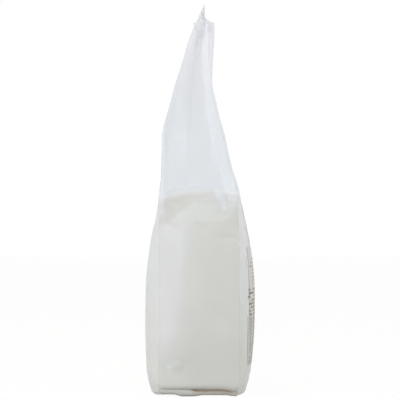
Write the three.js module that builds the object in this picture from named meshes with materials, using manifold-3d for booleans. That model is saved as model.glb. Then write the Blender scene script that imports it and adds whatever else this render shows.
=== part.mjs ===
// A sealed bag of rice flour, as one solid of its outer form: a clear film bag with a folded flat bottom,
// a front and a back panel that the flour pushes out, two side gussets that fold in above the flour, and
// a heat seal across the top whose ends part into two tails, as a gusseted bag's do.
// Millimetres, +Z up. The front panel faces -Y and the back panel +Y. The gussets face +X and -X.

import * as THREE from "three";
import { mergeVertices } from "three/addons/utils/BufferGeometryUtils.js";
import Module from "manifold-3d";

// Driving dimensions
const HEIGHT = 250; // floor to the top edge of the seal
const PANEL_WIDTH = 128; // front and back panel, flat, from crease to crease
const GUSSET_WIDTH = 52.8; // each side gusset, unfolded
const FLOUR_TOP = 131;
const SEAL_HEIGHT = 9;

// The film is far thinner than a solid can be, so the sealed layers are drawn this thick
const SEAL_THICKNESS = 1.7;
const TAIL_THICKNESS = 0.7;
const VALLEY_GAP = 0.3; // open bottom of a gusset's fold

const BASE_FOLD = 1.6; // radius of the turn from the walls into the base
const SIDE_BULGE = 3; // how far the flour pushes a gusset out
const GABLE_SLOPE = 0.19; // how fast the triangle above the flour's shoulder leans in, per unit of height
const FOLD_POWER = 1.8; // how long a gusset stays shallow before it turns in to its fold
const FOLD_SOFTNESS = 1; // rounding where two folded faces meet

const SEAL_ROOT = HEIGHT - SEAL_HEIGHT;
const SEAL_MIDDLE = 2; // the seal stands this far behind the middle of the bag
const SEAL_FRONT = SEAL_MIDDLE - SEAL_THICKNESS / 2;
const SEAL_BACK = SEAL_MIDDLE + SEAL_THICKNESS / 2;

// Upright lines of the two panels as [height, distance behind the middle plane]: the crease on the gusset
// at -X, the middle of the panel and the crease on the gusset at +X
const FRONT = {
  far: line([[0, -26], [14, -26.8], [FLOUR_TOP, -25.6], [164, -23.5], [200, -14], [SEAL_ROOT - 12, -5.4],
    [SEAL_ROOT, -3.6], [HEIGHT - 3, -4], [HEIGHT, -5.6]]),
  middle: line([[0, -33.6], [8, -35.2], [14, -35.9], [45, -36.9], [68, -36.6], [99, -33.2], [115, -29.6],
    [FLOUR_TOP, -27], [168, -24.6], [200, -15.6], [SEAL_ROOT - 5, -2.6], [SEAL_ROOT, SEAL_FRONT]]),
  near: line([[0, -27], [14, -27.7], [FLOUR_TOP, -26.5], [166, -24.9], [178, -21.6], [200, -15.9],
    [223, -8.9], [232, -6], [SEAL_ROOT + 3, -0.8], [HEIGHT, SEAL_FRONT]]),
};
const BACK = {
  far: line([[0, 24], [14, 24.8], [100, 24.8], [FLOUR_TOP, 21.6], [165, 13.6], [204, 8], [HEIGHT, 9.8]]),
  middle: line([[0, 31], [8, 32.6], [14, 33.8], [50, 36.5], [68, 36.4], [99, 32.2], [115, 28.9],
    [FLOUR_TOP, 25.4], [152, 19], [168, 15.2], [200, 7.4], [SEAL_ROOT - 5, 4.6], [SEAL_ROOT, SEAL_BACK]]),
  near: line([[0, 24], [14, 24.8], [100, 24.8], [FLOUR_TOP, 22.4], [165, 15], [197, 7], [SEAL_ROOT - 5, 4.4],
    [SEAL_ROOT, SEAL_BACK]]),
};
// The crease down the middle of each gusset, which stands out beside the flour and lies deep above it
const FOLD = {
  far: line([[0, -1], [FLOUR_TOP, -2], [171, -4], [SEAL_ROOT - 12, 1.2], [SEAL_ROOT, 3]]),
  near: line([[0, -3.5], [100, -3.5], [126, 9], [136, 8], [150, 5], [171, 1.5], [200, -0.7], [215, -2],
    [SEAL_ROOT - 12, -1], [SEAL_ROOT, SEAL_MIDDLE]]),
};
// The seal curves backwards towards the gusset at -X
const SEAL_BEND = line([[200, 0], [SEAL_ROOT, 5.6]]);
// How square a panel's bulge is across its width, as the power of its curve
const BEND_POWER = 1.7;
const CROWN = line([[8, 3.6], [40, 2.7], [FLOUR_TOP, 2.6], [SEAL_ROOT - 20, 3], [SEAL_ROOT, 6]]);
// A gusset bellies out beside the flour and stops where its gable begins. Its two faces meet along a soft
// upright ridge, as [height, distance behind the middle plane].
const BELLY = line([[0, 0], [20, 0.8 * SIDE_BULGE], [70, SIDE_BULGE], [100, 0.6 * SIDE_BULGE], [122, 0]]);
const BELLY_RIDGE = {
  far: line([[0, -3], [113, -3]]),
  near: line([[0, -17], [26, -15], [55, -10.5], [78, -7.5], [94, -6], [113, -5]]),
};
// The height of each gable's foot, as [distance behind the middle plane, height]
const GABLE_FOOT = {
  far: line([[-26, 109], [22, 104]]),
  near: line([[-26, 112], [13, 112], [18, 114], [22, 118]]),
};

// The slit at each end of the folded bottom, and the end of the bottom seal that shows below it
const SLIT = { front: -25.5, back: 23.5, height: 4.4, rise: 2.4, drop: 2.2, depth: 9 };
const BOTTOM_SEAL = { front: -11, back: -3, thickness: 1.6, length: 127 };

const PANEL_STEPS = 18;
const GUSSET_STEPS = 8;
// Rows of the loft as [from, to, steps]: the base's turn, the body, the gable, the empty film and the seal
const ROWS = [[0, BASE_FOLD, 5], [BASE_FOLD, 96, 9], [96, 140, 14], [140, SEAL_ROOT - 8, 11],
  [SEAL_ROOT - 8, SEAL_ROOT, 6], [SEAL_ROOT, HEIGHT, 2]];

// A smooth curve through stations of [place, value] that never overshoots, level at its ends and beyond them
function line(stations) {
  const last = stations.length - 1;
  const slope = (i) => (stations[i + 1][1] - stations[i][1]) / (stations[i + 1][0] - stations[i][0]);
  const tangents = stations.map((_, i) => {
    if (i === 0 || i === last) return 0;
    const [before, after] = [slope(i - 1), slope(i)];
    return before * after <= 0 ? 0 : (2 * before * after) / (before + after);
  });
  return (place) => {
    if (place <= stations[0][0]) return stations[0][1];
    if (place >= stations[last][0]) return stations[last][1];
    const i = stations.findIndex((station) => station[0] > place) - 1;
    const [[low, from], [high, to]] = [stations[i], stations[i + 1]];
    const span = high - low;
    const t = (place - low) / span;
    const rest = 1 - t;
    return from * (1 + 2 * t) * rest * rest + to * t * t * (3 - 2 * t)
      + span * t * rest * (tangents[i] * rest - tangents[i + 1] * t);
  };
}

function softMin(a, b) {
  const near = Math.max(FOLD_SOFTNESS - Math.abs(a - b), 0) / FOLD_SOFTNESS;
  return Math.min(a, b) - (near * near * FOLD_SOFTNESS) / 4;
}

// Where a panel stands at a height, from -1 at the far crease to 1 at the near one
function panelAt(panel, height, across) {
  const middle = panel.middle(height);
  const crease = (across < 0 ? panel.far : panel.near)(height);
  const bend = across < 0 ? SEAL_BEND(height) : 0;
  const share = Math.abs(across);
  return middle + bend * share ** BEND_POWER + (crease - middle - bend) * share ** CROWN(height);
}

// A panel keeps its width, so its creases draw together as it bulges
function halfWidth(height) {
  const bulge = (BACK.middle(height) - FRONT.middle(height) - BACK.near(height) + FRONT.near(height)) / 2;
  return PANEL_WIDTH / 2 - (4 / 3) * (bulge * bulge) / PANEL_WIDTH;
}

// How far in from its crease line a gusset lies, from 0 at the crease to 1 at its fold. A gusset keeps its
// width, so wherever its fold lies between the two creases, it lies on an ellipse around them.
function tuckAt(end, height, towardsFold, y) {
  const [front, back] = [FRONT[end](height), BACK[end](height)];
  const deepest = Math.sqrt(Math.max(GUSSET_WIDTH ** 2 - (back - front) ** 2, 0)) / 2;
  const offCentre = (2 * FOLD[end](height) - front - back) / GUSSET_WIDTH;
  const depth = deepest * Math.sqrt(1 - offCentre ** 2);
  const gable = Math.max(height - GABLE_FOOT[end](y), 0) * GABLE_SLOPE;
  const folded = Math.max(softMin(depth * towardsFold ** FOLD_POWER, gable), 0);
  const ridge = BELLY_RIDGE[end](height);
  const belly = softMin((y - front) / (ridge - front), (back - y) / (back - ridge));
  return folded - BELLY(height) * Math.max(belly, 0);
}

// One half of a gusset at a height, as points from its crease to the fold
function gussetHalf(end, panel, height) {
  const side = end === "near" ? 1 : -1;
  const inward = panel === FRONT ? 1 : -1;
  const half = halfWidth(height);
  const crease = panel[end](height) + inward * TAIL_THICKNESS;
  const fold = FOLD[end](height) - (inward * VALLEY_GAP) / 2;
  const sealed = THREE.MathUtils.smoothstep(height, SEAL_ROOT - 4, SEAL_ROOT);
  return Array.from({ length: GUSSET_STEPS + 1 }, (_, i) => {
    const share = i / GUSSET_STEPS;
    const open = THREE.MathUtils.lerp(crease, fold, share);
    const x = half - tuckAt(end, height, share, open);
    const closed = panelAt(panel, height, (side * x) / half) + inward * TAIL_THICKNESS;
    return new THREE.Vector2(side * x, THREE.MathUtils.lerp(open, closed, sealed));
  });
}

// The outline of the bag at a height, anticlockwise from above
function section(height) {
  const half = halfWidth(height);
  const across = Array.from({ length: PANEL_STEPS + 1 }, (_, i) => (2 * i) / PANEL_STEPS - 1);
  const points = [
    ...across.map((a) => new THREE.Vector2(a * half, panelAt(FRONT, height, a))),
    ...gussetHalf("near", FRONT, height),
    ...gussetHalf("near", BACK, height).reverse(),
    ...across.reverse().map((a) => new THREE.Vector2(a * half, panelAt(BACK, height, a))),
    ...gussetHalf("far", BACK, height),
    ...gussetHalf("far", FRONT, height).reverse(),
  ];
  const below = Math.max(BASE_FOLD - height, 0);
  const drawnIn = BASE_FOLD - Math.sqrt(BASE_FOLD ** 2 - below ** 2);
  const halfDepth = (BACK.middle(height) - FRONT.middle(height)) / 2;
  const shrink = new THREE.Vector2(1 - drawnIn / half, 1 - drawnIn / halfDepth);
  return points.map((point) => point.multiply(shrink));
}

// A closed skin over outlines of equal length, with flat ends
function loft(heights) {
  const outlines = heights.map(section);
  const count = outlines[0].length;
  const positions = outlines.flatMap((outline, row) => outline.flatMap((p) => [p.x, p.y, heights[row]]));
  const index = [];
  for (let row = 0; row < outlines.length - 1; row++) {
    for (let i = 0; i < count; i++) {
      const [a, b] = [row * count + i, row * count + ((i + 1) % count)];
      index.push(a, b, b + count, a, b + count, a + count);
    }
  }
  const top = (outlines.length - 1) * count;
  for (const [a, b, c] of THREE.ShapeUtils.triangulateShape(outlines[0], [])) index.push(c, b, a);
  for (const [a, b, c] of THREE.ShapeUtils.triangulateShape(outlines.at(-1), [])) {
    index.push(top + a, top + b, top + c);
  }
  const geometry = new THREE.BufferGeometry();
  geometry.setAttribute("position", new THREE.Float32BufferAttribute(positions, 3));
  geometry.setIndex(index);
  return geometry;
}

function rowHeights() {
  const heights = ROWS.flatMap(([from, to, steps]) =>
    Array.from({ length: steps }, (_, i) => from + ((to - from) * i) / steps));
  return [...heights, HEIGHT];
}

// A lens in the YZ plane, pushed along X into one end of the base
function slit(side) {
  const middle = (SLIT.front + SLIT.back) / 2;
  const lens = new THREE.Shape();
  lens.moveTo(SLIT.front, SLIT.height);
  lens.quadraticCurveTo(middle, SLIT.height - 2 * SLIT.drop, SLIT.back, SLIT.height - SLIT.drop);
  lens.quadraticCurveTo(middle, SLIT.height + SLIT.rise, SLIT.front, SLIT.height);
  const options = { depth: 3 * SLIT.depth, bevelEnabled: false, curveSegments: 10 };
  const geometry = new THREE.ExtrudeGeometry(lens, options);
  const alongY = new THREE.Vector3(0, 1, 0);
  const alongZ = new THREE.Vector3(0, 0, 1);
  geometry.applyMatrix4(new THREE.Matrix4().makeBasis(alongY, alongZ, alongY.clone().cross(alongZ)));
  const inner = PANEL_WIDTH / 2 - SLIT.depth;
  return geometry.translate(side > 0 ? inner : -inner - 3 * SLIT.depth, 0, 0);
}

// The folded bottom seal, a flat bar under the flour whose ends show at the gussets
function bottomSeal() {
  const width = BOTTOM_SEAL.back - BOTTOM_SEAL.front;
  const geometry = new THREE.BoxGeometry(BOTTOM_SEAL.length, width, BOTTOM_SEAL.thickness);
  return geometry.translate(0, (BOTTOM_SEAL.front + BOTTOM_SEAL.back) / 2, BOTTOM_SEAL.thickness / 2);
}

const wasm = await Module();
wasm.setup();

function toSolid(geometry) {
  const bare = geometry.clone();
  bare.deleteAttribute("normal");
  bare.deleteAttribute("uv");
  const merged = mergeVertices(bare, 1e-4);
  return new wasm.Manifold(new wasm.Mesh({
    numProp: 3,
    vertProperties: new Float32Array(merged.attributes.position.array),
    triVerts: new Uint32Array(merged.index.array),
  }));
}

function toGeometry(solid) {
  const mesh = solid.getMesh();
  const geometry = new THREE.BufferGeometry();
  geometry.setAttribute("position", new THREE.BufferAttribute(mesh.vertProperties, 3));
  geometry.setIndex(new THREE.BufferAttribute(mesh.triVerts, 1));
  return geometry;
}

// The whole bag with its box centred over the origin
function bagGeometry() {
  const solid = toSolid(loft(rowHeights())).add(toSolid(bottomSeal()))
    .subtract(toSolid(slit(1))).subtract(toSolid(slit(-1)));
  const geometry = toGeometry(solid);
  geometry.computeBoundingBox();
  const centre = geometry.boundingBox.getCenter(new THREE.Vector3());
  geometry.translate(-centre.x, -centre.y, 0);
  geometry.computeVertexNormals();
  return geometry;
}

const filmOverFlour = new THREE.MeshStandardMaterial({ color: 0xd6d7d3, roughness: 0.35, metalness: 0 });
const bag = new THREE.Mesh(bagGeometry(), filmOverFlour);
bag.name = "flour_bag";

const flourBag = new THREE.Group();
flourBag.add(bag);
export default flourBag;
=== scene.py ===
import bpy
import numpy as np
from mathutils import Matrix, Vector
from mathutils.geometry import tessellate_polygon


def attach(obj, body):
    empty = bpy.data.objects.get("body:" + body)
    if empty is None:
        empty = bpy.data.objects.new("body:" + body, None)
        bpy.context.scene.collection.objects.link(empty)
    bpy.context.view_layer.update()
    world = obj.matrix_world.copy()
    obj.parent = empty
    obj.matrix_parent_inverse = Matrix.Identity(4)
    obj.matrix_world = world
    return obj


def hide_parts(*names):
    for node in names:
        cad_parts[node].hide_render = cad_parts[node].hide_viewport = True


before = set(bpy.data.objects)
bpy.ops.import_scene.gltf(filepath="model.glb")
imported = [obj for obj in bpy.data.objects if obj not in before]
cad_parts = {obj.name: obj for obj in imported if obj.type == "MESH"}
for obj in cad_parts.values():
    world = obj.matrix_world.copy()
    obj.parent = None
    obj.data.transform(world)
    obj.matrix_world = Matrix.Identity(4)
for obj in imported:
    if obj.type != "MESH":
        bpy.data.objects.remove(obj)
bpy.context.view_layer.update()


# The film bag
# A tube of clear polypropylene film, creased into two panels and two side gussets. Its lower end is sealed
# and folded under, and its upper end was sealed through all layers once the flour was in. The flour holds
# the lower half tight, and above it the gussets fold in and the slack film falls in soft creases.
MM = 0.001
HEIGHT = 250.0
PANEL_WIDTH = 128.0
GUSSET_WIDTH = 52.8
FLOUR_TOP = 131.0
SEAL_HEIGHT = 9.0
SEAL_THICKNESS = 0.8
TAIL_THICKNESS = 0.35
VALLEY_GAP = 0.2
SIDE_BULGE = 3.0
GABLE_SLOPE = 0.13
FOLD_POWER = 1.8
FOLD_SOFTNESS = 1.0
SEAL_ROOT = HEIGHT - SEAL_HEIGHT
SEAL_BLEND = 4.0
SEAL_SPREAD = 0.8
SEAL_MIDDLE = 2.0
SEAL_FRONT = SEAL_MIDDLE - SEAL_THICKNESS / 2
SEAL_BACK = SEAL_MIDDLE + SEAL_THICKNESS / 2


def smooth_line(*stations):
    """A curve through (place, value) stations that never overshoots, level at its ends and beyond them."""
    places, values = np.array(stations, dtype=float).T
    slopes = np.diff(values) / np.diff(places)
    before, after = slopes[:-1], slopes[1:]
    same_way = before * after > 0
    tangents = np.zeros(len(values))
    tangents[1:-1][same_way] = 2 * (before * after)[same_way] / (before + after)[same_way]

    def at(place):
        place = np.clip(place, places[0], places[-1])
        i = np.clip(np.searchsorted(places, place, side="right") - 1, 0, len(places) - 2)
        span = places[i + 1] - places[i]
        t = (place - places[i]) / span
        rest = 1 - t
        ends = values[i] * (1 + 2 * t) * rest**2 + values[i + 1] * t**2 * (3 - 2 * t)
        return ends + span * t * rest * (tangents[i] * rest - tangents[i + 1] * t)

    return at


def smooth_step(value, low, high):
    """Climbs smoothly from 0 at low to 1 at high."""
    t = np.clip((value - low) / (high - low), 0, 1)
    return t * t * (3 - 2 * t)


def soft_min(a, b):
    """The smaller of two values, rounded off where they meet."""
    near = np.maximum(FOLD_SOFTNESS - np.abs(a - b), 0) / FOLD_SOFTNESS
    return np.minimum(a, b) - near**2 * FOLD_SOFTNESS / 4


# Upright lines of the panels, as (height, distance behind the middle plane): the crease on the far gusset,
# at -X, the middle of the panel, and the crease on the near gusset, at +X, which faces the camera
FRONT = {
    "far": smooth_line((0, -26), (14, -26.8), (FLOUR_TOP, -25.6), (164, -23.5), (200, -14),
                       (SEAL_ROOT - 12, -5.4), (SEAL_ROOT, -3.6), (HEIGHT - 3, -4), (HEIGHT, -5.6)),
    "middle": smooth_line((8, -34.9), (14, -35.9), (45, -36.9), (68, -36.6), (99, -33.2), (115, -29.6),
                          (FLOUR_TOP, -27), (168, -24.6), (200, -15.6), (SEAL_ROOT - 5, -2.6),
                          (SEAL_ROOT, SEAL_FRONT)),
    "near": smooth_line((0, -27), (14, -27.7), (126, -26.6), (140, -25.0), (150, -24.5), (165, -24.9),
                        (178, -21.6), (200, -15.9), (223, -8.9), (232, -6), (SEAL_ROOT + 3, -0.8),
                        (HEIGHT, SEAL_FRONT)),
}
BACK = {
    "far": smooth_line((0, 24), (14, 24.8), (100, 24.8), (FLOUR_TOP, 21.6), (165, 13.6), (204, 8),
                       (HEIGHT, 9.8)),
    "middle": smooth_line((8, 31.8), (14, 33.2), (50, 35.9), (68, 35.8), (84, 34.6), (99, 32.3),
                          (115, 28.9), (FLOUR_TOP, 25.4), (152, 19), (168, 15.2), (200, 7.4),
                          (SEAL_ROOT - 5, 4.6), (SEAL_ROOT, SEAL_BACK)),
    "near": smooth_line((0, 24), (14, 24.8), (100, 24.8), (FLOUR_TOP, 22.4), (165, 15), (197, 7),
                        (SEAL_ROOT - 5, 4.4), (SEAL_ROOT, SEAL_BACK)),
}
# The fold of each gusset, in the same way
FOLD = {
    "far": smooth_line((0, -1), (FLOUR_TOP, -2), (171, -4), (SEAL_ROOT - 12, 1.2), (SEAL_ROOT, 3)),
    "near": smooth_line((0, -3.5), (100, -3.5), (126, 9), (136, 8), (150, 5), (171, 1.5), (200, -0.7),
                        (215, -2), (SEAL_ROOT - 12, -1), (SEAL_ROOT, SEAL_MIDDLE)),
}
# Height of the foot of the gable that each gusset makes above the flour, by distance behind the middle
# plane
GABLE_FOOT = {
    "far": smooth_line((-26, 109), (22, 104)),
    "near": smooth_line((-26, 112), (13, 112), (18, 114), (22, 118)),
}
# How far the far end of the seal is bent back, how square a panel's bulge is, and how far the flour pushes
# a gusset out, all by height
SEAL_BEND = smooth_line((200, 0), (SEAL_ROOT, 5.6))
BEND_POWER = 1.7
CROWN = smooth_line((8, 3.6), (40, 2.7), (FLOUR_TOP, 2.6), (SEAL_ROOT - 20, 3), (SEAL_ROOT, 6))
BELLY = smooth_line((0, 0.75 * SIDE_BULGE), (30, 0.95 * SIDE_BULGE), (50, SIDE_BULGE),
                    (90, 0.5 * SIDE_BULGE), (124, 0))
# It does so in two flat faces that meet along a soft upright ridge
BELLY_RIDGE = {
    "far": smooth_line((0, -3), (113, -3)),
    "near": smooth_line((0, -17), (26, -15), (55, -10.5), (78, -7.5), (94, -6), (113, -5)),
}


def panel_at(panel, height, across):
    """How far behind the middle plane a panel stands, from -1 at its far crease to 1 at its near one."""
    middle = panel["middle"](height)
    crease = np.where(across < 0, panel["far"](height), panel["near"](height))
    bend = np.where(across < 0, SEAL_BEND(height), 0)
    share = np.abs(across)
    return middle + bend * share**BEND_POWER + (crease - middle - bend) * share ** CROWN(height)


# How far the folded bottom draws each crease in
FOOT_DRAW = smooth_line((0, 2.0), (42, 0))


def half_width(height):
    """A panel keeps its width, so its creases draw together as it bulges, and at the folded foot."""
    depth_in_middle = BACK["middle"](height) - FRONT["middle"](height)
    depth_at_crease = BACK["near"](height) - FRONT["near"](height)
    bulge = (depth_in_middle - depth_at_crease) / 2
    # A shallow arc is longer than its chord by 8/3 of its rise squared over the chord, half at each end
    return PANEL_WIDTH / 2 - 4 / 3 * bulge**2 / PANEL_WIDTH - FOOT_DRAW(height)


def tuck_at(end, height, towards_fold, y):
    """How far in from its crease line a gusset lies: its fold lies on an ellipse around the two creases."""
    front, back = FRONT[end](height), BACK[end](height)
    deepest = np.sqrt(np.maximum(GUSSET_WIDTH**2 - (back - front) ** 2, 0)) / 2
    off_centre = (2 * FOLD[end](height) - front - back) / GUSSET_WIDTH
    depth = deepest * np.sqrt(1 - off_centre**2)
    gable = np.maximum(height - GABLE_FOOT[end](y), 0) * GABLE_SLOPE
    folded = np.maximum(soft_min(depth * towards_fold**FOLD_POWER, gable), 0)
    ridge = BELLY_RIDGE[end](height)
    belly = BELLY(height) * soft_min((y - front) / (ridge - front), (back - y) / (back - ridge))
    return folded - np.maximum(belly, 0)


def panel_points(panel, height, across):
    """A panel, from its far crease to its near one."""
    x = across * half_width(height)
    y = panel_at(panel, height, across)
    return np.stack(np.broadcast_arrays(x, y, height), axis=-1)


def gusset_points(end, panel, height, share):
    """Half a gusset, from its crease with a panel to its fold. In the seal it lies flat on that panel,
    and is spread a little so that no two of its columns meet."""
    side = 1 if end == "near" else -1
    inward = 1 if panel is FRONT else -1
    half = half_width(height)
    crease = panel[end](height) + inward * TAIL_THICKNESS
    fold = FOLD[end](height) - inward * VALLEY_GAP / 2
    hanging = crease + (fold - crease) * share
    in_seal = smooth_step(height, SEAL_ROOT - SEAL_BLEND, SEAL_ROOT)
    x = side * (half - tuck_at(end, height, share, hanging) - SEAL_SPREAD * share * in_seal)
    sealed = panel_at(panel, height, x / half) + inward * TAIL_THICKNESS
    y = hanging + (sealed - hanging) * in_seal
    return np.stack(np.broadcast_arrays(x, y, height), axis=-1)


# Columns run once round the bag, anticlockwise from above, starting at the far crease of the front panel
PANEL_COLUMNS = 108
GUSSET_COLUMNS = 28
ACROSS = np.linspace(-1, 1, PANEL_COLUMNS + 1)[None, :]
SHARE = np.linspace(0, 1, GUSSET_COLUMNS + 1)[None, :]
WALL_FOOT = 8.0
# Rows lie closer together at the flour's top and in the seal
ROWS = np.concatenate([
    np.arange(WALL_FOOT, 100, 1.25),
    np.arange(100, 150, 0.8),
    np.arange(150, SEAL_ROOT - 6, 1.15),
    np.linspace(SEAL_ROOT - 6, HEIGHT, 26),
])[:, None]


def film_form(height):
    """The film's plain form at the given heights, before creases, as rows of points."""
    return np.concatenate([
        panel_points(FRONT, height, ACROSS),
        gusset_points("near", FRONT, height, SHARE),
        gusset_points("near", BACK, height, SHARE[:, ::-1]),
        panel_points(BACK, height, ACROSS[:, ::-1]),
        gusset_points("far", BACK, height, SHARE),
        gusset_points("far", FRONT, height, SHARE[:, ::-1]),
    ], axis=1)


def outward(points):
    """Unit normals of a grid of points whose columns close into a loop."""
    around = np.roll(points, -1, axis=1) - np.roll(points, 1, axis=1)
    normal = np.cross(around, np.gradient(points, axis=0))
    return normal / np.linalg.norm(normal, axis=-1, keepdims=True)


CREASE_ROUNDING = 3


def mitred(normals):
    """Normals evened out around the sharp creases, so that a row set in along them keeps its corners."""
    for _ in range(CREASE_ROUNDING):
        normals = normals + np.roll(normals, 1, axis=1) + np.roll(normals, -1, axis=1)
    return normals / np.linalg.norm(normals, axis=-1, keepdims=True)


film = film_form(ROWS)
middle = (film.reshape(-1, 3).max(axis=0) + film.reshape(-1, 3).min(axis=0)) / 2
film[..., :2] -= middle[:2]

# Distance along the film from the middle of each panel or gusset, and from the nearest of the four creases
panel_a = ACROSS * PANEL_WIDTH / 2
gusset_a = np.concatenate([SHARE - 1, 1 - SHARE[:, ::-1]], axis=1) * GUSSET_WIDTH / 2
on_panel = PANEL_WIDTH / 2 - np.abs(panel_a)
on_side = GUSSET_WIDTH / 2 - np.abs(gusset_a)
from_crease = np.concatenate([on_panel, on_side, on_panel, on_side], axis=1)
near_gusset = slice(PANEL_COLUMNS + 1, PANEL_COLUMNS + 1 + gusset_a.shape[1])


def crease(a, z, start, end, width, height):
    """A pressed line from start to end, sharp along its crest, that falls away over its width and ends."""
    (a0, z0), (a1, z1) = start, end
    length = np.hypot(a1 - a0, z1 - z0)
    along = ((a - a0) * (a1 - a0) + (z - z0) * (z1 - z0)) / length**2
    off = ((a - a0) * (z1 - z0) - (z - z0) * (a1 - a0)) / length
    ends = smooth_step(along, -0.05, 0.3) * smooth_step(-along, -1.05, -0.7)
    crest = 0.25 * width
    return height * ends * np.exp(-(np.sqrt(off**2 + crest**2) - crest) / width)


def slack_creases(rng, count, half):
    """Long creases that fan out from under the seal towards the flour."""
    lines = []
    for _ in range(count):
        top = rng.uniform(-0.9, 0.9) * half
        start = (top, SEAL_ROOT - rng.uniform(2, 40))
        end = (top + rng.normal(0, 0.16 * half), FLOUR_TOP + rng.uniform(-2, 55))
        width = rng.uniform(2.5, 6.0)
        height = rng.choice([-1, 1]) * rng.uniform(0.2, 0.5)
        lines.append((start, end, width, height))
    return lines


def puckers(rng, count, half):
    """Short upright creases where the slack film meets the top of the flour."""
    lines = []
    for _ in range(count):
        foot = rng.uniform(-0.95, 0.95) * half
        start = (foot, FLOUR_TOP + rng.uniform(-22, -4))
        end = (foot + rng.normal(0, 3), FLOUR_TOP + rng.uniform(4, 24))
        width = rng.uniform(1.5, 3.0)
        height = rng.choice([-1, 1]) * rng.uniform(0.12, 0.35)
        lines.append((start, end, width, height))
    return lines


WAVES = 24
STRETCHED_WAVE = 0.04
SLACK_WAVE = 0.16


def crumple(rng, a, z, shortest, longest):
    """Fine unevenness: a few dozen seeded waves of mixed length and direction."""
    total = 0
    for _ in range(WAVES):
        length = rng.uniform(shortest, longest)
        turn = rng.uniform(0, np.pi)
        phase = rng.uniform(0, 2 * np.pi)
        total = total + np.sin(2 * np.pi * (a * np.cos(turn) + z * np.sin(turn)) / length + phase)
    return total / np.sqrt(WAVES)


def film_relief(a, half, seed, slack_count, pucker_count):
    """Creases and unevenness over one panel or gusset, as height above its plain form."""
    rng = np.random.default_rng(seed)
    lines = slack_creases(rng, slack_count, half) + puckers(rng, pucker_count, half)
    slack = smooth_step(ROWS, FLOUR_TOP - 6, FLOUR_TOP + 26)
    stretched_waves = STRETCHED_WAVE * crumple(rng, a, ROWS, 25, 70)
    slack_waves = SLACK_WAVE * slack * crumple(rng, a, ROWS, 12, 45)
    return stretched_waves + slack_waves + sum(crease(a, ROWS, *line) for line in lines)


# Creases on the near gusset, as start, end, width and height, where a minus height goes in. Places are
# (distance behind the middle plane, height).
NEAR_CREASES = [
    ((-25, 111.5), (-11, 106), 2.2, -0.5),
    ((-12, 110), (-9, 50), 8.0, 0.4),
    ((-21, 111), (-1, 127), 4.0, -0.6),
    ((-4, 112), (5, 105), 1.8, -0.3),
    ((10, 102.4), (26, 100.8), 1.4, -0.3),
    ((13.4, 134), (17.2, 116.5), 2.6, 0.4),
    ((17, 132), (18.8, 118), 1.6, -0.25),
    ((-22, 18), (-12, 22.5), 3.5, 0.15),
    ((-4, 24), (-16, 12), 4.0, -0.35),
    ((6, 60), (22, 40), 5.0, -0.25),
]
# All relief fades out towards the four creases and the seal
EDGE_HOLD = 3.0
SEAL_HOLD = 5.0

relief = np.concatenate([
    film_relief(panel_a, PANEL_WIDTH / 2, 11, 16, 26),
    film_relief(gusset_a, GUSSET_WIDTH / 2, 12, 5, 3),
    film_relief(-panel_a, PANEL_WIDTH / 2, 13, 16, 26),
    film_relief(-gusset_a, GUSSET_WIDTH / 2, 14, 9, 8),
], axis=1)
near_y = film[:, near_gusset, 1]
relief[:, near_gusset] += sum(crease(near_y, ROWS, *line) for line in NEAR_CREASES)
relief *= smooth_step(from_crease, 0, EDGE_HOLD) * smooth_step(SEAL_ROOT - ROWS, 0, SEAL_HOLD)
film += outward(film) * relief[..., None]

# The folded bottom, row by row from the wall down: the lip of the gusset turns in over a slit, and the flap
# under it comes out again and turns into the base. By distance behind the middle plane, these are the
# heights of the slit's lips and of the flap's foot, the slit's depth, and how far in the flap lies.
UPPER_LIP = smooth_line((-27, 5.0), (12, 4.9), (18, 4.1), (25, 2.6))
LOWER_LIP = smooth_line((-27, 4.7), (-20, 4.8), (-14, 4.9), (-6, 4.9), (-3, 3.4), (2, 2.8), (9, 3.3),
                        (14, 3.3), (25, 1.5))
FLAP_LIFT = smooth_line((-28, 1.5), (-17, 1.4), (-11, 0.2), (-3, 0.2), (2, 0.8), (17, 0.7), (24, 0.0))
SLIT_DEPTH = smooth_line((-27, 0.3), (-9, 0.3), (-2, 3.0), (25, 3.0))
FLAP_INSET = smooth_line((-27, 0), (-6, 0), (1, 1.8), (25, 1.6))
SLIT_TAPER = 5.0
LIP_INSET = 0.36
FOOT_SLOPE = 0.28
FOOT_ROUND = 1.6
BASE_TURN = 4.0
CORNER_LIFT = 1.6
CORNER_LENGTH = 14.0
CORNER_BLEND = 2.5
# Steps as (share of the way between two heights, how far in), in the slit as a share of its depth
LIP_STEPS = [(0.45, 0.0), (0.8, 0.04), (0.95, 0.12), (1.0, LIP_INSET)]
SLIT_STEPS = [(0.15, 0.2), (0.35, 0.55), (0.6, 0.85), (0.9, 1.0)]
FLAP_STEPS = [(0.0, 0.6), (0.08, 0.42), (0.3, 0.52), (0.6, 0.85), (0.85, 1.3), (1.0, 2.0), (1.0, 3.8)]

wall = film[0]
wall_y = wall[:, 1]
wall_outward = mitred(outward(film[:2]))[0] * np.array([1, 1, 0])
is_gusset = np.zeros(film.shape[1])
is_gusset[near_gusset] = 1
is_gusset = np.maximum(is_gusset, np.roll(is_gusset, film.shape[1] // 2))
on_gusset = is_gusset * smooth_step(from_crease[0], 0, CORNER_BLEND)
taper = smooth_step(from_crease[0], 0, SLIT_TAPER)
slit_depth = SLIT_DEPTH(wall_y) * taper
slit_middle = (UPPER_LIP(wall_y) + LOWER_LIP(wall_y)) / 2
slit_half = (UPPER_LIP(wall_y) - LOWER_LIP(wall_y)) / 2 * taper
flap_inset = FLAP_INSET(wall_y) * taper
corner_z = CORNER_LIFT * smooth_step(-from_crease[0], -CORNER_LENGTH, 0) * (wall_y < 0)


def panel_foot(z):
    """How far a panel's foot draws in under its wall at a height above the floor."""
    low = max(1 - z / FOOT_ROUND, 0)
    return FOOT_SLOPE * (WALL_FOOT - z) + FOOT_ROUND * (1 - np.sqrt(1 - low**2))


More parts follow.
